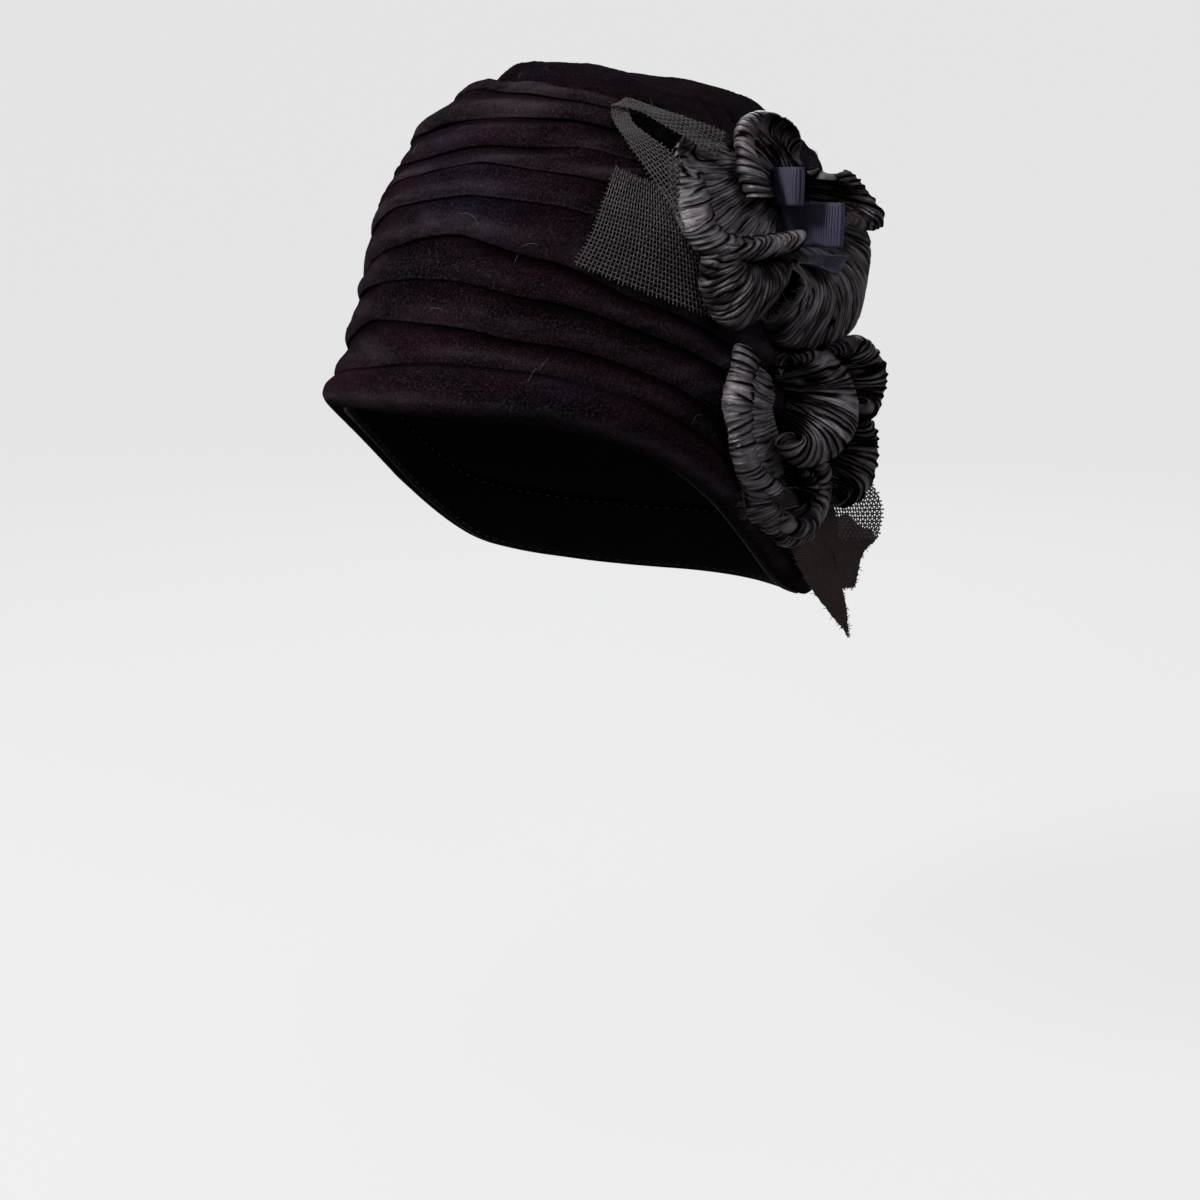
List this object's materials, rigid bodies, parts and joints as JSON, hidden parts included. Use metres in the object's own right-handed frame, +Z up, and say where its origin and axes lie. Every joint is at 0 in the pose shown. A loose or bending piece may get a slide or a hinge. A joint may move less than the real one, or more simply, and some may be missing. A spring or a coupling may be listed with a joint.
{
  "type": "toque hat",
  "caption": "Brimless draped velvet toque with a rolled rim and a side spray of pleated taffeta roses, open net tails and ribbon loops.",
  "frame": {"origin": "inside of the crown's top, where the hat sits on a head", "axes": "+Z up through the crown, -Y towards the wearer's front, +X towards the wearer's left, where the spray is"},
  "size_m": [0.1959, 0.2044, 0.1951],
  "materials": {
    "velvet": "very dark plum-black velvet, matt with a soft sheen on the folds",
    "taffeta": "charcoal pleated taffeta with a satin sheen",
    "net": "matt charcoal open-weave net",
    "grosgrain": "navy ribbed ribbon with a low sheen"
  },
  "bodies": {
    "root": {"crown_tip": "velvet", "side_drape": "velvet", "rim_roll": "velvet", "inner_band": "velvet", "upper_rose_petal_1": "taffeta", "upper_rose_petal_2": "taffeta", "upper_rose_petal_3": "taffeta", "upper_rose_petal_4": "taffeta", "upper_rose_petal_5": "taffeta", "lower_rose_petal_1": "taffeta", "lower_rose_petal_2": "taffeta", "lower_rose_petal_3": "taffeta", "lower_rose_petal_4": "taffeta", "lower_rose_petal_5": "taffeta", "lower_rose_petal_6": "taffeta", "net_tab": "net", "net_loop": "net", "net_tail_point": "net", "net_tail_square": "net", "ribbon_loop_small": "grosgrain", "ribbon_loop_large": "grosgrain", "ribbon_tail": "grosgrain"}
  },
  "joints": []
}
